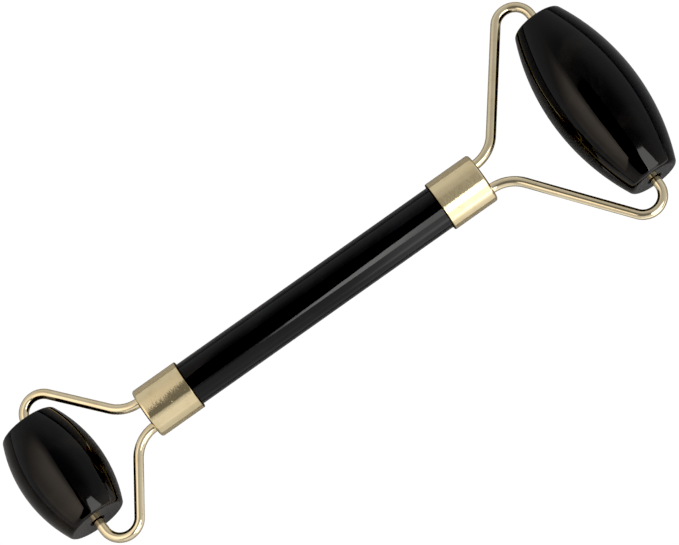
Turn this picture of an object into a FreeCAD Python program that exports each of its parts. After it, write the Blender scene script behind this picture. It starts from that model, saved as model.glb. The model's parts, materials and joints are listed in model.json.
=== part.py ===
import FreeCAD, Part
import math
import os

from FreeCAD import Placement, Rotation, Vector

# Double-ended face roller: a straight stone rod with a metal ferrule on each end,
# a bent wire yoke in each ferrule, and a barrel-shaped stone turning on each yoke.
#
# Frame: the origin is the middle of the handle, on its axis. +X points to the large
# roller, the roller axes run along Y and +Z is square to the plane of the yokes.
# Sizes are in millimetres and angles in degrees.

# Handle rod
ROD_DIAMETER = 9.5
ROD_VISIBLE_LENGTH = 61.2       # from one ferrule's lip to the other
ROD_END_CHAMFER = 0.4

# Ferrules: thin cups, one on each end of the rod
FERRULE_LENGTH = 10.5
FERRULE_WALL = 0.66
FERRULE_END_WALL = 0.8
FERRULE_ROD_CLEARANCE = 0.04    # radial, a glue film
FERRULE_END_ROUND = 0.6
FERRULE_LIP_ROUND = 0.25

# Yoke wire, and the U-bend that anchors it in the ferrule
WIRE_DIAMETER = 2.1
WIRE_HOLE_CLEARANCE = 0.05      # radial, in the ferrule's end wall
ARM_WALL_GAP = 0.74             # from an arm to the ferrule's inner wall
ANCHOR_STRAIGHT = 1.3           # from the ferrule's face in to the U-bend
ANCHOR_ROD_GAP = 0.25           # from the U-bend to the end of the rod
PIN_TIP_CHAMFER = 0.2

# Bushes: plastic sleeves in the stones' bores, turning on the pins
PIN_CLEARANCE = 0.08            # radial, the running fit
BUSH_WALL = 0.42
BUSH_LENGTH = 7.0
BUSH_RECESS = 0.25              # below the stone's end face
PIN_ENGAGEMENT = 5.8            # length of pin inside the stone, when it is centred
BORE_CHAMFER = 0.2

# Large end. A yoke's reach is from the ferrule's face to the pin axis, and its side
# play is from each end of the centred stone to the start of the hook's bend.
LARGE_STONE_LENGTH = 40.8
LARGE_STONE_DIAMETER = 19.5
LARGE_STONE_END_DIAMETER = 10.65
LARGE_STONE_EDGE_ROUND = 1.15
LARGE_STONE_SHIFT = -0.25       # along the pins, positive to the left of the yoke
LARGE_YOKE_REACH = 27.3
LARGE_YOKE_BEND_RADIUS = 7.85
LARGE_YOKE_HOOK_RADIUS = 3.9
LARGE_SIDE_PLAY = 1.8
LARGE_YOKE_LEAN = 0.0           # turn of the hooks and pins about the ferrule's face

# Small end
SMALL_STONE_LENGTH = 24.4
SMALL_STONE_DIAMETER = 17.8
SMALL_STONE_END_DIAMETER = 12.4
SMALL_STONE_EDGE_ROUND = 0.8
SMALL_STONE_SHIFT = -1.1
SMALL_YOKE_REACH = 20.4
SMALL_YOKE_BEND_RADIUS = 7.45
SMALL_YOKE_HOOK_RADIUS = 3.9
SMALL_SIDE_PLAY = 1.4
SMALL_YOKE_LEAN = 2.6

# Sizes that follow from the ones above
ROD_RADIUS = ROD_DIAMETER / 2
WIRE_RADIUS = WIRE_DIAMETER / 2
FERRULE_BORE_RADIUS = ROD_RADIUS + FERRULE_ROD_CLEARANCE
FERRULE_RADIUS = FERRULE_BORE_RADIUS + FERRULE_WALL
FERRULE_FACE = ROD_VISIBLE_LENGTH / 2 + FERRULE_LENGTH
ARM_OFFSET = FERRULE_BORE_RADIUS - ARM_WALL_GAP - WIRE_RADIUS
ANCHOR_DEPTH = ANCHOR_STRAIGHT + ARM_OFFSET + WIRE_RADIUS + ANCHOR_ROD_GAP
ROD_LENGTH = ROD_VISIBLE_LENGTH + 2 * (FERRULE_LENGTH - ANCHOR_DEPTH)
BUSH_BORE_RADIUS = WIRE_RADIUS + PIN_CLEARANCE
STONE_BORE_RADIUS = BUSH_BORE_RADIUS + BUSH_WALL

X_AXIS = Vector(1, 0, 0)
Y_AXIS = Vector(0, 1, 0)
Z_AXIS = Vector(0, 0, 1)
MIDDLE = Vector(0, 0, 0)

# Each end is made in its own frame, with the ferrule's face at the origin and the
# yoke reaching out along +X, and is then put on its end of the handle.
LARGE_END = Placement(Vector(FERRULE_FACE, 0, 0), Rotation(Z_AXIS, 0))
SMALL_END = Placement(Vector(-FERRULE_FACE, 0, 0), Rotation(Z_AXIS, 180))


def moved(shape, placement):
    """A copy of the shape, moved by the placement."""
    copy = shape.copy()
    copy.Placement = placement.multiply(copy.Placement)
    return copy


def edges_centred_on(shape, axis, radius, distance):
    """The shape's full circles of that radius, centred that far along the axis."""
    centre = axis * distance
    found = []
    for edge in shape.Edges:
        is_circle = edge.Curve.TypeId == "Part::GeomCircle" and edge.isClosed()
        if not is_circle or abs(edge.Curve.Radius - radius) > 1e-4:
            continue
        if edge.Curve.Center.distanceToPoint(centre) < 1e-4:
            found.append(edge)
    return found


def handle_rod():
    """The stone rod, with a small chamfer on each hidden end."""
    rod = Part.makeCylinder(ROD_RADIUS, ROD_LENGTH, X_AXIS * (-ROD_LENGTH / 2), X_AXIS)
    rims = edges_centred_on(rod, X_AXIS, ROD_RADIUS, ROD_LENGTH / 2)
    rims += edges_centred_on(rod, X_AXIS, ROD_RADIUS, -ROD_LENGTH / 2)
    return rod.makeChamfer(ROD_END_CHAMFER, rims)


def ferrule():
    """A cup that opens towards the rod, with two wire holes in its end wall."""
    cup = Part.makeCylinder(FERRULE_RADIUS, FERRULE_LENGTH, X_AXIS * -FERRULE_LENGTH, X_AXIS)
    cup = cup.makeFillet(FERRULE_END_ROUND, edges_centred_on(cup, X_AXIS, FERRULE_RADIUS, 0))
    lip = edges_centred_on(cup, X_AXIS, FERRULE_RADIUS, -FERRULE_LENGTH)
    cup = cup.makeFillet(FERRULE_LIP_ROUND, lip)
    bore_depth = FERRULE_LENGTH - FERRULE_END_WALL
    cup = cup.cut(Part.makeCylinder(FERRULE_BORE_RADIUS, bore_depth, X_AXIS * -FERRULE_LENGTH, X_AXIS))
    hole_radius = WIRE_RADIUS + WIRE_HOLE_CLEARANCE
    for side in (1, -1):
        start = Vector(-FERRULE_LENGTH, side * ARM_OFFSET, 0)
        cup = cup.cut(Part.makeCylinder(hole_radius, 2 * FERRULE_LENGTH, start, X_AXIS))
    return cup


def arm_points(side, reach, half_width, bend_radius, hook_radius, pin_tip, lean):
    """The corners of one arm's centre line, and the middle of each of its two arcs.

    The arm leaves the ferrule's face along +X, bends outwards, runs straight, and
    hooks back to the pin. It is worked out for the left-hand arm, and the right-hand
    arm is its mirror image, in which the lean turns the other way.
    """
    turn = Rotation(Z_AXIS, side * lean)
    bend_centre = Vector(0, ARM_OFFSET + bend_radius, 0)
    hook_centre = turn.multVec(Vector(reach - hook_radius, half_width - hook_radius, 0))
    span = hook_centre - bend_centre
    slope = math.atan2(span.y, span.x) + math.asin((bend_radius + hook_radius) / span.Length)
    outward = Vector(-math.sin(slope), math.cos(slope), 0)
    half_slope = Vector(-math.sin(slope / 2), math.cos(slope / 2), 0)
    pin_heading = turn.multVec(X_AXIS)
    hook_middle = outward + pin_heading
    hook_middle.normalize()
    points = {
        "stem": Vector(-ANCHOR_STRAIGHT, ARM_OFFSET, 0),
        "bend_start": Vector(0, ARM_OFFSET, 0),
        "bend_middle": bend_centre - half_slope * bend_radius,
        "bend_end": bend_centre - outward * bend_radius,
        "hook_start": hook_centre + outward * hook_radius,
        "hook_middle": hook_centre + hook_middle * hook_radius,
        "hook_end": hook_centre + pin_heading * hook_radius,
        "pin_tip": turn.multVec(Vector(reach, pin_tip, 0)),
    }
    return {name: Vector(p.x, side * p.y, 0) for name, p in points.items()}


def arc(start, middle, end):
    return Part.Arc(start, middle, end).toShape()


def yoke_wire(stone_length, reach, side_play, bend_radius, hook_radius, lean):
    """One bent wire: pin, hook, arm, U-bend in the ferrule, arm, hook and pin."""
    half_width = stone_length / 2 + side_play + hook_radius
    pin_tip = stone_length / 2 - PIN_ENGAGEMENT
    left, right = [
        arm_points(side, reach, half_width, bend_radius, hook_radius, pin_tip, lean)
        for side in (1, -1)
    ]
    u_bend_far = Vector(-ANCHOR_STRAIGHT - ARM_OFFSET, 0, 0)
    path = Part.Wire([
        Part.makeLine(left["pin_tip"], left["hook_end"]),
        arc(left["hook_end"], left["hook_middle"], left["hook_start"]),
        Part.makeLine(left["hook_start"], left["bend_end"]),
        arc(left["bend_end"], left["bend_middle"], left["bend_start"]),
        Part.makeLine(left["bend_start"], left["stem"]),
        arc(left["stem"], u_bend_far, right["stem"]),
        Part.makeLine(right["stem"], right["bend_start"]),
        arc(right["bend_start"], right["bend_middle"], right["bend_end"]),
        Part.makeLine(right["bend_end"], right["hook_start"]),
        arc(right["hook_start"], right["hook_middle"], right["hook_end"]),
        Part.makeLine(right["hook_end"], right["pin_tip"]),
    ])
    heading = left["hook_end"] - left["pin_tip"]
    section = Part.Wire([Part.makeCircle(WIRE_RADIUS, left["pin_tip"], heading)])
    wire = path.makePipeShell([section], True, False)
    tips = [
        edge for edge in wire.Edges
        for tip in (left["pin_tip"], right["pin_tip"])
        if edge.isClosed() and edge.CenterOfMass.distanceToPoint(tip) < 1e-3
    ]
    return wire.makeChamfer(PIN_TIP_CHAMFER, tips)


def potting(wire):
    """The glue that fills the ferrule between its end wall and the rod."""
    depth = ANCHOR_DEPTH - FERRULE_END_WALL
    plug = Part.makeCylinder(FERRULE_BORE_RADIUS, depth, X_AXIS * -ANCHOR_DEPTH, X_AXIS)
    return plug.cut(wire)


def stone(length, diameter, end_diameter, edge_round):
    """A barrel along Y with flat ends, rounded edges and a bore right through."""
    half = length / 2
    end_radius = end_diameter / 2
    outline = Part.Wire([
        Part.makeLine(Vector(0, -half, 0), Vector(end_radius, -half, 0)),
        arc(Vector(end_radius, -half, 0), Vector(diameter / 2, 0, 0), Vector(end_radius, half, 0)),
        Part.makeLine(Vector(end_radius, half, 0), Vector(0, half, 0)),
        Part.makeLine(Vector(0, half, 0), Vector(0, -half, 0)),
    ])
    barrel = Part.Face(outline).revolve(MIDDLE, Y_AXIS, 360)
    rims = edges_centred_on(barrel, Y_AXIS, end_radius, half)
    rims += edges_centred_on(barrel, Y_AXIS, end_radius, -half)
    barrel = barrel.makeFillet(edge_round, rims)
    barrel = barrel.cut(Part.makeCylinder(STONE_BORE_RADIUS, length, Y_AXIS * -half, Y_AXIS))
    mouths = edges_centred_on(barrel, Y_AXIS, STONE_BORE_RADIUS, half)
    mouths += edges_centred_on(barrel, Y_AXIS, STONE_BORE_RADIUS, -half)
    return barrel.makeChamfer(BORE_CHAMFER, mouths)


def bush(stone_length, side):
    """The sleeve in one end of a stone's bore."""
    outer_end = side * (stone_length / 2 - BUSH_RECESS)
    inward = Y_AXIS * -side
    sleeve = Part.makeCylinder(STONE_BORE_RADIUS, BUSH_LENGTH, Y_AXIS * outer_end, inward)
    return sleeve.cut(Part.makeCylinder(BUSH_BORE_RADIUS, BUSH_LENGTH, Y_AXIS * outer_end, inward))


def roller_place(reach, shift, lean):
    """Where a roller's centre goes in its end's own frame."""
    turn = Rotation(Z_AXIS, lean)
    return Placement(turn.multVec(Vector(reach, shift, 0)), turn)


def end_nodes(name, end, wire, stone_sizes, reach, shift, lean):
    """The nodes of one end, by name, in the object's frame."""
    in_stone = end.multiply(roller_place(reach, shift, lean))
    length = stone_sizes[0]
    return {
        f"{name}_ferrule": moved(ferrule(), end),
        f"{name}_yoke_wire": moved(wire, end),
        f"{name}_potting": moved(potting(wire), end),
        f"{name}_stone": moved(stone(*stone_sizes), in_stone),
        f"{name}_stone_bush_left": moved(bush(length, 1), in_stone),
        f"{name}_stone_bush_right": moved(bush(length, -1), in_stone),
    }


large_wire = yoke_wire(
    LARGE_STONE_LENGTH, LARGE_YOKE_REACH, LARGE_SIDE_PLAY,
    LARGE_YOKE_BEND_RADIUS, LARGE_YOKE_HOOK_RADIUS, LARGE_YOKE_LEAN,
)
small_wire = yoke_wire(
    SMALL_STONE_LENGTH, SMALL_YOKE_REACH, SMALL_SIDE_PLAY,
    SMALL_YOKE_BEND_RADIUS, SMALL_YOKE_HOOK_RADIUS, SMALL_YOKE_LEAN,
)
large_stone_sizes = (
    LARGE_STONE_LENGTH, LARGE_STONE_DIAMETER, LARGE_STONE_END_DIAMETER, LARGE_STONE_EDGE_ROUND,
)
small_stone_sizes = (
    SMALL_STONE_LENGTH, SMALL_STONE_DIAMETER, SMALL_STONE_END_DIAMETER, SMALL_STONE_EDGE_ROUND,
)

nodes = {"handle_rod": handle_rod()}
nodes.update(end_nodes(
    "large", LARGE_END, large_wire, large_stone_sizes,
    LARGE_YOKE_REACH, LARGE_STONE_SHIFT, LARGE_YOKE_LEAN,
))
nodes.update(end_nodes(
    "small", SMALL_END, small_wire, small_stone_sizes,
    SMALL_YOKE_REACH, SMALL_STONE_SHIFT, SMALL_YOKE_LEAN,
))

os.makedirs("parts", exist_ok=True)
for node_name, shape in nodes.items():
    shape.exportStep(f"parts/{node_name}.step")

# The joints' places: a point on each roller's axis, and the axis's direction.
for label, end, reach, lean in (
    ("large", LARGE_END, LARGE_YOKE_REACH, LARGE_YOKE_LEAN),
    ("small", SMALL_END, SMALL_YOKE_REACH, SMALL_YOKE_LEAN),
):
    axle = end.multiply(roller_place(reach, 0, lean))
    direction = axle.Rotation.multVec(Y_AXIS)
    print(f"{label} roller axis through {tuple(axle.Base)} along {tuple(direction)}")
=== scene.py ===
import json
import math

import bmesh
import bpy
from mathutils import Matrix, Vector


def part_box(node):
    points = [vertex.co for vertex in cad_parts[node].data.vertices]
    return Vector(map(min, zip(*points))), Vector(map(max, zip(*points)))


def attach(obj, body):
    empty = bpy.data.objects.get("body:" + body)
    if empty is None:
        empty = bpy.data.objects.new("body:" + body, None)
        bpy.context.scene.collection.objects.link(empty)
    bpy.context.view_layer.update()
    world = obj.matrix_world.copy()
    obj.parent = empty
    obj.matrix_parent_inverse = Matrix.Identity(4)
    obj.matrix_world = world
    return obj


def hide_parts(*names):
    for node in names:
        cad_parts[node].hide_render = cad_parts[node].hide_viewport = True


# A double-ended face roller: a black polished stone rod and two stone barrels, with
# champagne-gold ferrules and bent wire yokes. Everything is in metres in the object's
# own frame: +X runs along the handle to the large roller, the roller axes run along Y
# and +Z is up.

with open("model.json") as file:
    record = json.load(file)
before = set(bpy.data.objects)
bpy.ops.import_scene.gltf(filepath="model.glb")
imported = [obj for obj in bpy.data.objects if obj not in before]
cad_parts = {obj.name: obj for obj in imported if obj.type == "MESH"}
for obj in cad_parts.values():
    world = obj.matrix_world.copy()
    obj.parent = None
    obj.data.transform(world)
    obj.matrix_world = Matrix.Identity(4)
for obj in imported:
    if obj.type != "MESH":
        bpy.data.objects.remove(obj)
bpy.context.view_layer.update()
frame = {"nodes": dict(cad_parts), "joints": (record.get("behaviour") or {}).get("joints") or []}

MM = 0.001
ORIGIN = Vector((0, 0, 0))
X_AXIS = Vector((1, 0, 0))
Y_AXIS = Vector((0, 1, 0))
Z_AXIS = Vector((0, 0, 1))
EIGHTH_TURN = math.pi / 4
QUARTER_TURN = math.pi / 2
HALF_TURN = math.pi
FULL_TURN = 2 * math.pi

# Roundings and hidden sizes, which the frame's boxes don't give
ARM_OFFSET = 3.0 * MM               # from the handle's axis to each arm, at the ferrule
ANCHOR_STRAIGHT = 1.3 * MM          # from the ferrule's face in to the wire's U-bend
HOOK_RADIUS = 3.9 * MM
PIN_ENGAGEMENT = 5.8 * MM           # length of pin inside a centred stone
PIN_TIP_ROUND = 0.2 * MM
FERRULE_WALL = 0.66 * MM
FERRULE_END_WALL = 0.8 * MM
FERRULE_END_ROUND = 0.6 * MM
FERRULE_LIP_ROUND = 0.25 * MM
WIRE_HOLE_CLEARANCE = 0.05 * MM
ROD_END_CHAMFER = 0.4 * MM
STONE_BORE_RADIUS = 1.55 * MM
BORE_CHAMFER = 0.2 * MM
BUSH_BORE_RADIUS = 1.13 * MM
BUSH_EDGE_ROUND = 0.08 * MM
BEND_RADIUS = {"large": 7.85 * MM, "small": 7.45 * MM}
SIDE_PLAY = {"large": 1.8 * MM, "small": 1.4 * MM}
STONE_END_RADIUS = {"large": 5.325 * MM, "small": 6.2 * MM}
STONE_EDGE_ROUND = {"large": 1.15 * MM, "small": 0.8 * MM}

# How finely round shapes are divided
STEPS_AROUND = 192                  # round a stone, the rod or a ferrule
STEPS_AROUND_WIRE = 48
STEPS_AROUND_BACKDROP = 96
BEND_STEP = math.radians(5)
LONGEST_STEP = 0.6 * MM             # along an arc
FLAT_MARGIN = 0.12 * MM             # a ring this far inside a flat face keeps it flat
SHARP_ANGLE = math.radians(32)
SAME_POINT = 1e-6

# How many steps divide each straight run
ROD_STEPS = 24
CUP_STEPS = 8
BORE_STEPS = 12
STONE_FACE_STEPS = 3
ARM_STEPS = 20
PIN_STEPS = 6
ANCHOR_STEPS = 2
PIN_TIP_STEPS = 3


# --------------------------------------------------------------------------- camera

CAMERA_AIM = Vector((6.68, 1.0, 0)) * MM
CAMERA_DISTANCE = 604.2 * MM
CAMERA_TILT = math.radians(16.21)   # from straight overhead towards -Y
CAMERA_YAW = math.radians(0.77)     # towards -X
CAMERA_ROLL = math.radians(35.46)   # the handle climbs to the right by this much
CAMERA_LENS = 160.2


def add_camera():
    data = bpy.data.cameras.new("camera")
    data.lens = CAMERA_LENS
    camera = bpy.data.objects.new("camera", data)
    bpy.context.scene.collection.objects.link(camera)
    turn = (
        Matrix.Rotation(-CAMERA_YAW, 4, "Y")
        @ Matrix.Rotation(CAMERA_TILT, 4, "X")
        @ Matrix.Rotation(-CAMERA_ROLL, 4, "Z")
    )
    eye = CAMERA_AIM + turn.to_3x3() @ Z_AXIS * CAMERA_DISTANCE
    camera.matrix_world = Matrix.Translation(eye) @ turn
    bpy.context.scene.camera = camera


# -------------------------------------------------------------------------- colours

def colour(red, green, blue):
    return (red, green, blue, 1.0)


UNLIT = colour(0, 0, 0)
WHITE = colour(1, 1, 1)

STONE_BLACK = colour(0.0015, 0.0015, 0.002)
ROD_SMOKE = colour(0.007, 0.007, 0.008)
BARREL_SMOKE = colour(0.017, 0.014, 0.011)
FERRULE_GOLD = colour(0.90, 0.755, 0.475)
WIRE_GOLD = colour(0.90, 0.78, 0.54)
TARNISH = colour(0.62, 0.47, 0.24)
PAINTED_LIP_SHADE = colour(0.05, 0.035, 0.02)
# painted shade: the dark line where each ferrule's lip meets the rod
NYLON_DARK = colour(0.010, 0.009, 0.008)
NYLON_PALE = colour(0.030, 0.026, 0.022)
EPOXY_DARK = colour(0.46, 0.33, 0.15)
EPOXY_PALE = colour(0.62, 0.50, 0.28)


# ---------------------------------------------------------------- shader expressions

class Socket:
    """A shader node's output that can be used in sums, such as 1 - mask * 0.3."""

    def __init__(self, tree, output):
        self.tree = tree
        self.output = output

    def node(self, kind, settings, inputs, output=0):
        """A new node's output. Settings are set first, then inputs by name or number."""
        made = self.tree.nodes.new(kind)
        for name, value in settings.items():
            setattr(made, name, value)
        for name, value in inputs.items():
            if isinstance(value, Socket):
                self.tree.links.new(value.output, made.inputs[name])
            else:
                made.inputs[name].default_value = value
        return Socket(self.tree, made.outputs[output]) if made.outputs else None

    def math(self, operation, a, b=0.0):
        return self.node("ShaderNodeMath", {"operation": operation}, {0: a, 1: b})

    def __add__(self, other):
        return self.math("ADD", self, other)

    def __radd__(self, other):
        return self.math("ADD", other, self)

    def __sub__(self, other):
        return self.math("SUBTRACT", self, other)

    def __rsub__(self, other):
        return self.math("SUBTRACT", other, self)

    def __mul__(self, other):
        return self.math("MULTIPLY", self, other)

    def __rmul__(self, other):
        return self.math("MULTIPLY", other, self)

    def __truediv__(self, other):
        return self.math("DIVIDE", self, other)

    def __rtruediv__(self, other):
        return self.math("DIVIDE", other, self)

    def step(self, low, high):
        """0 at low, 1 at high, and smooth between them."""
        return self.node(
            "ShaderNodeMapRange",
            {"interpolation_type": "SMOOTHSTEP"},
            {"Value": self, "From Min": low, "From Max": high},
        )

    def band(self, rise_start, rise_end, fall_start, fall_end):
        """1 between the rise and the fall, and 0 outside them."""
        return self.step(rise_start, rise_end) * (1 - self.step(fall_start, fall_end))

    def axes(self):
        """The X, Y and Z parts of these coordinates."""
        parts = self.node("ShaderNodeSeparateXYZ", {}, {"Vector": self})
        outputs = parts.output.node.outputs
        return [Socket(self.tree, output) for output in outputs]

    def stretched(self, x, y, z):
        """These coordinates, scaled along each axis."""
        return self.node("ShaderNodeMapping", {}, {"Vector": self, "Scale": (x, y, z)})

    def noise(self, size, detail=2.0, roughness=0.5, distortion=0.0):
        """Noise from 0 to 1 on these coordinates, with features of about that size."""
        return self.node("ShaderNodeTexNoise", {}, {
            "Vector": self, "Scale": 1 / size, "Detail": detail,
            "Roughness": roughness, "Distortion": distortion,
        })

    def scatter(self, spacing):
        """The distance to the nearest of a scatter of points, as a share of the spacing."""
        return self.node("ShaderNodeTexVoronoi", {}, {"Vector": self, "Scale": 1 / spacing})

    def mix(self, colour_a, colour_b):
        """Colour a where this is 0 and colour b where it is 1."""
        return self.node(
            "ShaderNodeMix", {"data_type": "RGBA"}, {0: self, 6: colour_a, 7: colour_b}, 2,
        )

    def bump(self, height):
        """The surface's normal with this relief, whose full range is height deep."""
        return self.node("ShaderNodeBump", {}, {
            "Height": self, "Distance": height, "Strength": 1.0,
        })


def new_material(name):
    """An empty material and its object coordinates."""
    material = bpy.data.materials.new(name)
    material.use_nodes = True
    tree = material.node_tree
    tree.nodes.clear()
    coordinates = tree.nodes.new("ShaderNodeTexCoord")
    return material, Socket(tree, coordinates.outputs["Object"])


def finish_material(place, inputs):
    """Puts a Principled surface with these inputs on the tree's output."""
    surface = place.node("ShaderNodeBsdfPrincipled", {}, inputs)
    place.node("ShaderNodeOutputMaterial", {}, {"Surface": surface})


# ------------------------------------------------------------------------- finishes

def black_stone(name, smoke_colour):
    """Polished volcanic glass: near black, with faint smoky clouds and hair scratches."""
    material, place = new_material(name)
    drift = place.noise(14 * MM, detail=4.0, roughness=0.55, distortion=0.6)
    threads = place.stretched(1.0, 0.35, 1.0).noise(
        5 * MM, detail=3.0, roughness=0.6, distortion=1.2,
    )
    smoke = drift.step(0.42, 0.72) * 0.8 + threads.step(0.55, 0.75) * 0.2
    scratches = place.stretched(1.0, 9.0, 4.0).noise(1.6 * MM, detail=3.0, roughness=0.7)
    polish = place.noise(5 * MM, detail=1.0, roughness=0.4)
    pits = 1 - place.scatter(0.9 * MM).step(0.03, 0.10)
    relief = polish * 0.9 + scratches * 0.02 - pits * 0.06
    finish_material(place, {
        "Base Color": smoke.mix(STONE_BLACK, smoke_colour),
        "Roughness": 0.035 + scratches * 0.05 + pits * 0.2,
        "IOR": 1.5,
        "Normal": relief.bump(0.012 * MM),
    })
    return material


def champagne_plating(name, gold, peel_size, peel_depth):
    """Bright champagne-gold plating: orange peel, tiny pits, faint dull clouds, painted shade at
    each lip.
    """
    material, place = new_material(name)
    clouds = place.noise(3.5 * MM, detail=3.0, roughness=0.6).step(0.35, 0.75)
    peel = place.noise(peel_size)
    wander = place.noise(2.2 * MM, detail=1.0, roughness=0.4)
    pits = 1 - place.scatter(1.7 * MM).step(0.04, 0.12)
    # painted shade: darkens the colour and raises the roughness in a line at each ferrule's lip,
    # where it meets the rod
    lip_shade = painted_lip_shade_mask(place)
    tarnish = (clouds * 0.35 + pits * 0.5).step(0.0, 1.0)
    finish_material(place, {
        "Base Color": lip_shade.mix(tarnish.mix(gold, TARNISH), PAINTED_LIP_SHADE),
        "Metallic": 1.0,
        "Roughness": 0.07 + clouds * 0.06 + pits * 0.2 + lip_shade * 0.3,
        "Normal": (peel + wander * 1.5 - pits * 0.8).bump(peel_depth),
    })
    return material


def painted_lip_shade_mask(place):
    """1 in a line of painted shade where each ferrule's lip meets the rod, and 0 elsewhere."""
    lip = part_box("large_ferrule")[0].x
    along, _, _ = place.axes()
    from_lip = place.math("ABSOLUTE", along) - lip
    return 1 - from_lip.step(0.12 * MM, 0.30 * MM)


def moulded_nylon():
    """Dark moulded nylon for the bushes."""
    material, place = new_material("moulded_nylon")
    grain = place.noise(0.15 * MM)
    finish_material(place, {
        "Base Color": grain.mix(NYLON_DARK, NYLON_PALE),
        "Roughness": 0.45 + grain * 0.2,
        "Normal": grain.bump(0.01 * MM),
    })
    return material


def cast_epoxy():
    """Clear amber epoxy with fine bubbles, inside the ferrules."""
    material, place = new_material("cast_epoxy")
    bubbles = 1 - place.scatter(0.5 * MM).step(0.1, 0.3)
    finish_material(place, {
        "Base Color": place.noise(2 * MM).mix(EPOXY_DARK, EPOXY_PALE),
        "Roughness": 0.25 + bubbles * 0.3,
        "Normal": bubbles.bump(0.05 * MM),
    })
    return material


# --------------------------------------------------------------------- mesh shaping

class Trace:
    """Draws a section along runs, turns and bends in the XY plane.

    A single vertex draws an outline, and a ring of edges draws a round wire.
    Positive angles turn to the left, seen from +Z.
    """

    def __init__(self, mesh, section, position, heading):
        self.mesh = mesh
        self.section = section
        self.position = position
        self.heading = heading

    def sweep(self, centre, angle, shift, steps):
        swept = bmesh.ops.spin(
            self.mesh, geom=self.section, cent=centre, axis=Z_AXIS, dvec=shift / steps,
            angle=angle, steps=steps, use_merge=False, use_duplicate=False,
        )
        self.section = swept["geom_last"]

    def run(self, length, steps=1):
        """Straight ahead."""
        shift = self.heading * length
        self.sweep(self.position, 0, shift, steps)
        self.position = self.position + shift

    def turn(self, angle):
        """A sharp corner."""
        self.heading = Matrix.Rotation(angle, 3, "Z") @ self.heading

    def bend(self, radius, angle):
        """A round corner."""
        side = Z_AXIS.cross(self.heading) * math.copysign(radius, angle)
        centre = self.position + side
        finest = max(abs(angle) / BEND_STEP, abs(angle) * radius / LONGEST_STEP)
        self.sweep(centre, angle, ORIGIN, math.ceil(finest))
        self.position = centre - Matrix.Rotation(angle, 3, "Z") @ side
        self.turn(angle)


def start_outline(along, radius, heading):
    """A new mesh and a trace that draws an outline, as (distance along, radius)."""
    mesh = bmesh.new()
    position = Vector((along, radius, 0))
    return mesh, Trace(mesh, [mesh.verts.new(position)], position, heading)


def turn_round(mesh):
    """Spins an outline into a solid about the X axis, with its seam and poles closed."""
    bmesh.ops.remove_doubles(mesh, verts=mesh.verts, dist=SAME_POINT)
    bmesh.ops.spin(
        mesh, geom=mesh.verts[:] + mesh.edges[:], cent=ORIGIN, axis=X_AXIS,
        angle=FULL_TURN, steps=STEPS_AROUND, use_merge=True, use_duplicate=False,
    )
    bmesh.ops.remove_doubles(mesh, verts=mesh.verts, dist=SAME_POINT)


def finish_piece(name, mesh, place, finish, body, slot, *stands_for):
    """Makes the piece from its mesh, moved to its place, and hands it to its body."""
    bmesh.ops.transform(mesh, matrix=place, verts=mesh.verts)
    bmesh.ops.recalc_face_normals(mesh, faces=mesh.faces)
    for face in mesh.faces:
        face.smooth = True
    for edge in mesh.edges:
        edge.smooth = edge.calc_face_angle(0) < SHARP_ANGLE
    data = bpy.data.meshes.new(name)
    mesh.to_mesh(data)
    mesh.free()
    data.materials.append(finish)
    piece = bpy.data.objects.new(name, data)
    bpy.context.scene.collection.objects.link(piece)
    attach(piece, body)
    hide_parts(*stands_for)


# ------------------------------------------------------------------ places and sizes

def span(node, origin, direction):
    """How far a CAD node reaches along a direction from an origin: least and most."""
    vertices = frame["nodes"][node].data.vertices
    reaches = [(vertex.co - origin).dot(direction) for vertex in vertices]
    return min(reaches), max(reaches)


def half_height(node):
    low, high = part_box(node)
    return (high.z - low.z) / 2


class End:
    """One end of the roller: its ferrule's place, its yoke's sizes and its roller axis."""

    def __init__(self, name, direction):
        self.name = name
        low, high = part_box(f"{name}_ferrule")
        self.face = Vector((high.x if direction > 0 else low.x, 0, 0))
        self.place = Matrix.Translation(self.face)
        if direction < 0:
            self.place = self.place @ Matrix.Rotation(HALF_TURN, 4, "Z")
        joint = next(j for j in frame["joints"] if j["name"] == f"{name}_roller_spin")
        self.axle = Vector(joint["axis"]).normalized()
        self.lean = math.atan2(-self.axle.x, self.axle.y)
        self.reach = (Vector(joint["pos_m"]) - self.face).length
        stone_low, stone_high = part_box(f"{name}_stone")
        self.stone_centre = (stone_low + stone_high) / 2
        self.stone_half = span(f"{name}_stone", self.stone_centre, self.axle)[1]

    def along_axle(self, centre):
        """A matrix that puts a mesh turned about X on the roller axis, at a centre."""
        turn = self.axle.to_track_quat("X", "Z").to_matrix().to_4x4()
        return Matrix.Translation(centre) @ turn


# --------------------------------------------------------------------------- pieces

def handle_rod(finish):
    """The straight rod, with a small chamfer on each hidden end."""
    half_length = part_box("handle_rod")[1].x
    radius = half_height("handle_rod")
    flat = radius - ROD_END_CHAMFER
    chamfer = ROD_END_CHAMFER * math.sqrt(2)
    mesh, outline = start_outline(-half_length, 0, Y_AXIS)
    outline.run(flat)
    outline.turn(-EIGHTH_TURN)
    outline.run(chamfer)
    outline.turn(-EIGHTH_TURN)
    outline.run(2 * (half_length - ROD_END_CHAMFER), ROD_STEPS)
    outline.turn(-EIGHTH_TURN)
    outline.run(chamfer)
    outline.turn(-EIGHTH_TURN)
    outline.run(flat)
    turn_round(mesh)
    finish_piece(
        "polished_rod", mesh, Matrix.Identity(4), finish,
        "handle", "handle_stone", "handle_rod",
    )


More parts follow.
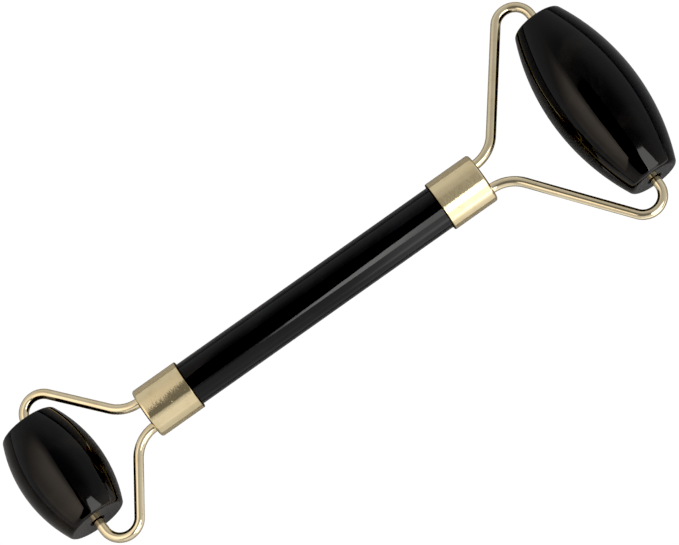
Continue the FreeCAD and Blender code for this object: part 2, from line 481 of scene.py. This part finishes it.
def barrel(end, finish):
    """A stone with a bowed side, flat ends, rounded rims and a chamfered bore."""
    half = end.stone_half
    middle_radius = half_height(f"{end.name}_stone")
    rim_round = STONE_EDGE_ROUND[end.name]
    bow = middle_radius - STONE_END_RADIUS[end.name]
    bow_radius = (half ** 2 + bow ** 2) / (2 * bow)
    rim_angle = math.asin((half - rim_round) / (bow_radius - rim_round))
    rim_centre_radius = (
        math.cos(rim_angle) * (bow_radius - rim_round) - (bow_radius - middle_radius)
    )
    mouth = STONE_BORE_RADIUS + BORE_CHAMFER
    face = rim_centre_radius - mouth - 2 * FLAT_MARGIN
    chamfer = BORE_CHAMFER * math.sqrt(2)
    mesh, outline = start_outline(BORE_CHAMFER - half, STONE_BORE_RADIUS, -X_AXIS)
    outline.turn(-EIGHTH_TURN)
    outline.run(chamfer)
    outline.turn(-EIGHTH_TURN)
    outline.run(FLAT_MARGIN)
    outline.run(face, STONE_FACE_STEPS)
    outline.run(FLAT_MARGIN)
    outline.bend(rim_round, rim_angle - QUARTER_TURN)
    outline.bend(bow_radius, -2 * rim_angle)
    outline.bend(rim_round, rim_angle - QUARTER_TURN)
    outline.run(FLAT_MARGIN)
    outline.run(face, STONE_FACE_STEPS)
    outline.run(FLAT_MARGIN)
    outline.turn(-EIGHTH_TURN)
    outline.run(chamfer)
    outline.turn(-EIGHTH_TURN)
    outline.run(2 * (half - BORE_CHAMFER), BORE_STEPS)
    turn_round(mesh)
    finish_piece(
        f"{end.name}_barrel", mesh, end.along_axle(end.stone_centre), finish,
        f"{end.name}_roller", "roller_stone", f"{end.name}_stone",
    )


def bush(end, hand, finish):
    """The sleeve in one end of a stone's bore, with its outer edges just broken."""
    node = f"{end.name}_stone_bush_{hand}"
    low, high = span(node, end.stone_centre, end.axle)
    length = high - low
    wall = STONE_BORE_RADIUS - BUSH_BORE_RADIUS
    mesh, outline = start_outline(BUSH_EDGE_ROUND - length / 2, BUSH_BORE_RADIUS, -X_AXIS)
    for flat in (wall, length, wall, length):
        outline.bend(BUSH_EDGE_ROUND, -QUARTER_TURN)
        outline.run(flat - 2 * BUSH_EDGE_ROUND)
    turn_round(mesh)
    centre = end.stone_centre + end.axle * (low + high) / 2
    finish_piece(
        f"{end.name}_bush_{hand}_sleeve", mesh, end.along_axle(centre), finish,
        f"{end.name}_roller", "bush_nylon", node,
    )


def ferrule(end, finish):
    """A drawn cup that opens towards the rod, with two wire holes in its end wall."""
    low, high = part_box(f"{end.name}_ferrule")
    length = high.x - low.x
    radius = (high.z - low.z) / 2
    bore = radius - FERRULE_WALL
    side = length - FERRULE_LIP_ROUND - FERRULE_END_ROUND - 2 * FLAT_MARGIN
    hole = half_height(f"{end.name}_yoke_wire") + WIRE_HOLE_CLEARANCE
    mesh, outline = start_outline(-FERRULE_END_WALL, bore, -X_AXIS)
    outline.run(length - FERRULE_END_WALL)
    outline.turn(-QUARTER_TURN)
    outline.run(FERRULE_WALL - FERRULE_LIP_ROUND)
    outline.bend(FERRULE_LIP_ROUND, -QUARTER_TURN)
    outline.run(FLAT_MARGIN)
    outline.run(side, CUP_STEPS)
    outline.run(FLAT_MARGIN)
    outline.bend(FERRULE_END_ROUND, -QUARTER_TURN)
    outline.run(FLAT_MARGIN)
    turn_round(mesh)
    for offset in (ARM_OFFSET, -ARM_OFFSET):
        centre = Vector((0, offset, 0))
        upright = Matrix.Translation(centre) @ Matrix.Rotation(QUARTER_TURN, 4, "Y")
        ring = bmesh.ops.create_circle(
            mesh, cap_ends=False, radius=hole, segments=STEPS_AROUND_WIRE, matrix=upright,
        )
        edges = list({edge for vertex in ring["verts"] for edge in vertex.link_edges})
        walls = bmesh.ops.extrude_edge_only(mesh, edges=edges)["geom"]
        inner = [item for item in walls if isinstance(item, bmesh.types.BMVert)]
        bmesh.ops.translate(mesh, vec=X_AXIS * -FERRULE_END_WALL, verts=inner)
    for depth in (0, -FERRULE_END_WALL):
        rims = [
            edge for edge in mesh.edges
            if edge.is_boundary
            and all(abs(vertex.co.x - depth) < SAME_POINT for vertex in edge.verts)
        ]
        bmesh.ops.triangle_fill(mesh, edges=rims, use_beauty=True, use_dissolve=False)
    finish_piece(
        f"{end.name}_ferrule_cup", mesh, end.place, finish,
        "handle", "ferrule_plating", f"{end.name}_ferrule",
    )


def arm_bends(end, side, half_width, bend_radius):
    """One arm's slope to the handle, and the length of its straight between bends.

    Worked out for the left-hand arm. The right-hand arm is its mirror image, in which
    the lean turns the other way.
    """
    lean = Matrix.Rotation(side * end.lean, 3, "Z")
    bend_centre = Vector((0, ARM_OFFSET + bend_radius, 0))
    hook_centre = lean @ Vector((end.reach - HOOK_RADIUS, half_width - HOOK_RADIUS, 0))
    reach = hook_centre - bend_centre
    both_radii = bend_radius + HOOK_RADIUS
    slope = math.atan2(reach.y, reach.x) + math.asin(both_radii / reach.length)
    straight = math.sqrt(reach.length_squared - both_radii ** 2)
    return slope, straight


def yoke_wire(end, finish):
    """One bent wire: pin, hook, arm, U-bend in the ferrule, arm, hook and pin."""
    node = f"{end.name}_yoke_wire"
    radius = half_height(node)
    bend_radius = BEND_RADIUS[end.name]
    side_play = SIDE_PLAY[end.name]
    half_width = end.stone_half + side_play + HOOK_RADIUS
    pin = PIN_ENGAGEMENT + side_play
    left_slope, left_straight = arm_bends(end, 1, half_width, bend_radius)
    right_slope, right_straight = arm_bends(end, -1, half_width, bend_radius)
    lean = Matrix.Rotation(end.lean, 3, "Z")
    pin_tip = lean @ Vector((end.reach, end.stone_half - PIN_ENGAGEMENT, 0))
    heading = lean @ Y_AXIS
    mesh = bmesh.new()
    facing = heading.to_track_quat("Z", "X").to_matrix().to_4x4()
    bmesh.ops.create_circle(
        mesh, cap_ends=True, radius=radius, segments=STEPS_AROUND_WIRE,
        matrix=Matrix.Translation(pin_tip) @ facing,
    )
    first_cap = mesh.faces[:]
    wire = Trace(mesh, mesh.edges[:], pin_tip, heading)
    wire.run(pin, PIN_STEPS)
    wire.bend(HOOK_RADIUS, QUARTER_TURN + left_slope - end.lean)
    wire.run(left_straight, ARM_STEPS)
    wire.bend(bend_radius, -left_slope)
    wire.run(ANCHOR_STRAIGHT, ANCHOR_STEPS)
    wire.bend(ARM_OFFSET, HALF_TURN)
    wire.run(ANCHOR_STRAIGHT, ANCHOR_STEPS)
    wire.bend(bend_radius, -right_slope)
    wire.run(right_straight, ARM_STEPS)
    wire.bend(HOOK_RADIUS, QUARTER_TURN + right_slope + end.lean)
    wire.run(pin, PIN_STEPS)
    last_ring = [item for item in wire.section if isinstance(item, bmesh.types.BMEdge)]
    last_cap = bmesh.ops.contextual_create(mesh, geom=last_ring)["faces"]
    tip_edges = list({edge for face in first_cap + last_cap for edge in face.edges})
    bmesh.ops.bevel(
        mesh, geom=tip_edges, offset=PIN_TIP_ROUND, affect="EDGES",
        segments=PIN_TIP_STEPS, profile=0.5, material=-1,
    )
    finish_piece(
        f"{end.name}_bent_wire", mesh, end.place, finish,
        "handle", "yoke_plating", node,
    )


# ----------------------------------------------------------------------- the studio

FLOOR_SIZE = 8.0
BACKDROP_RADIUS = 3.9
BACKDROP_BOTTOM = -0.1
BACKDROP_HEIGHT = 2.0
PAPER_CLOUD_SIZE = 0.4              # of the faint unevenness in the table and the paper
TABLE_DARK = colour(0.45, 0.455, 0.465)
TABLE_PALE = colour(0.49, 0.495, 0.505)
PAPER_PALE = colour(1.03, 1.03, 1.03)
BRIGHTEST = 4.0                     # no lamp gives more than this, and white paper gives 1
FILM_BLACK = 0.0188                 # light below this level prints as black

# Level light sheets above the table: height, then corners, in millimetres
LEFT_CARD_HEIGHT = 240
LEFT_CARD = (
    (-36, 110), (-50, 10), (-58, -50), (-85, -125), (-800, -330), (-800, 330), (-36, 330),
)
LEFT_CARD_DIM = colour(0.62, 0.60, 0.58)
LEFT_CARD_WARM = colour(1.45, 1.30, 1.14)
LEFT_CARD_FAR_SHARE = 0.33          # of the warmth, at its far edge
KEY_LIGHT_HEIGHT = 540
KEY_LIGHT = (
    (105, -226), (60, -266), (20, -378), (-29, -594), (-27, -700), (5, -712),
    (32, -772), (48, -765), (80, -872), (420, -905), (640, -460), (300, -236),
)
KEY_POWER = 1.0
KEY_RISE = 2.7
KEY_FALL = 1.25
KEY_BLUE = 0.98

# An upright card in front of the object, and a level sheet between it and the object,
# cut back round the stones
FRONT_CARD_Y = -400
FRONT_CARD = ((-300, -12), (260, -12), (260, 265), (-300, 265))
FRONT_POWER = 0.80
FRONT_RISE = 0.65
FRONT_FOOT_RISE = 0.5
BOUNCE_HEIGHT = -8
BOUNCE_SHEET = (
    (-47, -14), (47, -14), (52, -45), (260, -60),
    (260, -380), (-150, -380), (-150, -60), (-52, -45),
)
BOUNCE_POWER = 0.60
BOUNCE_CLEAR_RISE = 0.25
BOUNCE_RISE = 1.05

# The brightness of the tent round the object
TENT_LEVEL = 0.62
TENT_TOP_FALL = 0.16
TENT_FRONT_RISE = 0.36
TENT_GAP_LEVEL = 0.17


def stage_material(name, kind, paint, settings):
    """A material for the studio, with a colour worked out from its coordinates."""
    material, place = new_material(name)
    surface = place.node(kind, {}, {"Color": paint(place), **settings})
    place.node("ShaderNodeOutputMaterial", {}, {"Surface": surface})
    return material


def paper(dark, pale):
    """A paint that drifts faintly between two colours."""
    return lambda place: place.noise(PAPER_CLOUD_SIZE).mix(dark, pale)


def lamp_colour(power, blue=1.0):
    """The colour of a light with this power, near white but for its share of blue."""
    brightest = colour(BRIGHTEST, BRIGHTEST, BRIGHTEST * blue)
    return (power / BRIGHTEST).mix(UNLIT, brightest)


def stage_piece(name, mesh, material, camera_sees, reflections_see):
    """A piece that belongs to the studio, not to the object."""
    data = bpy.data.meshes.new(name)
    mesh.to_mesh(data)
    mesh.free()
    data.materials.append(material)
    piece = bpy.data.objects.new(name, data)
    piece.visible_camera = camera_sees
    piece.visible_glossy = reflections_see
    piece.visible_diffuse = reflections_see
    piece.visible_shadow = reflections_see
    bpy.context.scene.collection.objects.link(piece)


def stage_sheet(name, corners, material, camera_sees, reflections_see):
    mesh = bmesh.new()
    points = [mesh.verts.new(corner) for corner in corners]
    bmesh.ops.contextual_create(mesh, geom=points)
    stage_piece(name, mesh, material, camera_sees, reflections_see)


def light_sheet(name, corners, paint):
    """A glowing sheet that the camera doesn't see, with its corners in millimetres."""
    glow = stage_material(f"{name}_glow", "ShaderNodeEmission", paint, {"Strength": 1.0})
    stage_sheet(name, [Vector(corner) * MM for corner in corners], glow, False, True)


def table():
    """A table under both stones, which differ a little in girth.

    The camera sees evenly lit white paper on it and behind it, which hides its shadows.
    """
    large_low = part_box("large_stone")[0]
    small_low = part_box("small_stone")[0]
    large_x = ends[0].stone_centre.x
    small_x = ends[1].stone_centre.x
    slope = (large_low.z - small_low.z) / (large_x - small_x)
    half = FLOOR_SIZE / 2
    corners = [
        Vector((x, y, large_low.z + slope * (x - large_x)))
        for x, y in ((-half, -half), (half, -half), (half, half), (-half, half))
    ]
    top = stage_material(
        "pale_table", "ShaderNodeBsdfDiffuse", paper(TABLE_DARK, TABLE_PALE), {},
    )
    white = stage_material("white_sheet", "ShaderNodeEmission", paper(WHITE, PAPER_PALE), {})
    stage_sheet("table", corners, top, False, True)
    stage_sheet("white_sheet", corners, white, True, False)
    ring = bmesh.new()
    bmesh.ops.create_circle(
        ring, cap_ends=False, radius=BACKDROP_RADIUS, segments=STEPS_AROUND_BACKDROP,
    )
    rise = bmesh.ops.extrude_edge_only(ring, edges=ring.edges[:])["geom"]
    upper = [item for item in rise if isinstance(item, bmesh.types.BMVert)]
    bmesh.ops.translate(ring, vec=Z_AXIS * BACKDROP_HEIGHT, verts=upper)
    bmesh.ops.translate(ring, vec=Z_AXIS * BACKDROP_BOTTOM, verts=ring.verts)
    stage_piece("backdrop", ring, white, True, False)


def left_card():
    """A warm card over the small end, which each barrel mirrors as a soft band."""
    def paint(place):
        x, y, _ = place.axes()
        inward = x.step(-650 * MM, -80 * MM)
        edge = 1 - x.step(-125 * MM, -35 * MM)
        along = 1 - y.step(20 * MM, 300 * MM)
        gathered = (1 - LEFT_CARD_FAR_SHARE) * inward * inward * inward
        warmth = along * edge * (LEFT_CARD_FAR_SHARE + gathered)
        return warmth.mix(LEFT_CARD_DIM, LEFT_CARD_WARM)

    light_sheet("left_card", [(x, y, LEFT_CARD_HEIGHT) for x, y in LEFT_CARD], paint)


def key_light():
    """A bright softbox beside the camera, with a slanting edge towards the handle."""
    def paint(place):
        x, _, _ = place.axes()
        rise = x.step(-45 * MM, 5 * MM)
        fall = x.step(35 * MM, 60 * MM)
        return lamp_colour(KEY_POWER + KEY_RISE * rise - KEY_FALL * fall, KEY_BLUE)

    light_sheet("key_light", [(x, y, KEY_LIGHT_HEIGHT) for x, y in KEY_LIGHT], paint)


def front_cards():
    """Low white cards on the near side, brighter towards the large end."""
    def card_paint(place):
        x, _, z = place.axes()
        large_end = x.step(5 * MM, 55 * MM)
        foot = 1 - z.step(0, 90 * MM)
        return lamp_colour(FRONT_POWER + (FRONT_RISE + FRONT_FOOT_RISE * foot) * large_end)

    def sheet_paint(place):
        x, y, _ = place.axes()
        large_end = x.step(0, 30 * MM)
        clear = (0 - y).step(-20 * MM, 140 * MM)
        rise = BOUNCE_CLEAR_RISE + BOUNCE_RISE * large_end
        return lamp_colour(BOUNCE_POWER + clear * rise)

    light_sheet("front_card", [(x, FRONT_CARD_Y, z) for x, z in FRONT_CARD], card_paint)
    light_sheet("bounce_sheet", [(x, y, BOUNCE_HEIGHT) for x, y in BOUNCE_SHEET], sheet_paint)


def surround():
    """A pale tent that darkens overhead, with a dark gap in its top.

    A direction's place in the tent is given by its slopes from straight up: across, to
    +X, and forward, to -Y.
    """
    world = bpy.data.worlds.new("surround")
    bpy.context.scene.world = world
    world.use_nodes = True
    tree = world.node_tree
    tree.nodes.clear()
    direction = Socket(tree, tree.nodes.new("ShaderNodeTexCoord").outputs["Generated"])
    x, y, z = direction.axes()
    across = x / z
    forward = (0 - y) / z
    top = z.step(0.45, 0.97)
    front = forward.step(0.8, 1.6) * across.band(-1.6, 1.4, 0.6, 1.8)
    gap = (
        forward.band(-0.45, -0.20, 0.72, 0.9) * across.band(-1.0, -0.75, -0.02, 0.10)
        * z.step(0.3, 0.4)
    )
    tent = TENT_LEVEL - TENT_TOP_FALL * top + TENT_FRONT_RISE * front
    paint = (tent * (1 - gap) + TENT_GAP_LEVEL * gap).mix(UNLIT, WHITE)
    back = direction.node("ShaderNodeBackground", {}, {"Color": paint, "Strength": 1.0})
    direction.node("ShaderNodeOutputWorld", {}, {"Surface": back})


def set_film():
    """Plain colours, with the deepest shadows printed as black."""
    view = bpy.context.scene.view_settings
    view.view_transform = "Standard"
    view.use_curve_mapping = True
    view.curve_mapping.black_level = (FILM_BLACK,) * 3
    view.curve_mapping.update()


# --------------------------------------------------------------------------- making

ends = [End("large", 1), End("small", -1)]

add_camera()
surround()
table()
left_card()
key_light()
front_cards()
set_film()

rod_finish = black_stone("rod_black_stone", ROD_SMOKE)
barrel_finish = black_stone("barrel_black_stone", BARREL_SMOKE)
ferrule_finish = champagne_plating(
    "ferrule_champagne_gold", FERRULE_GOLD, peel_size=0.35 * MM, peel_depth=0.008 * MM,
)
wire_finish = champagne_plating(
    "wire_champagne_gold", WIRE_GOLD, peel_size=0.5 * MM, peel_depth=0.004 * MM,
)
nylon_finish = moulded_nylon()
epoxy_finish = cast_epoxy()

handle_rod(rod_finish)
for end in ends:
    barrel(end, barrel_finish)
    for hand in ("left", "right"):
        bush(end, hand, nylon_finish)
    ferrule(end, ferrule_finish)
    yoke_wire(end, wire_finish)
    frame["nodes"][f"{end.name}_potting"].material_slots[0].material = epoxy_finish
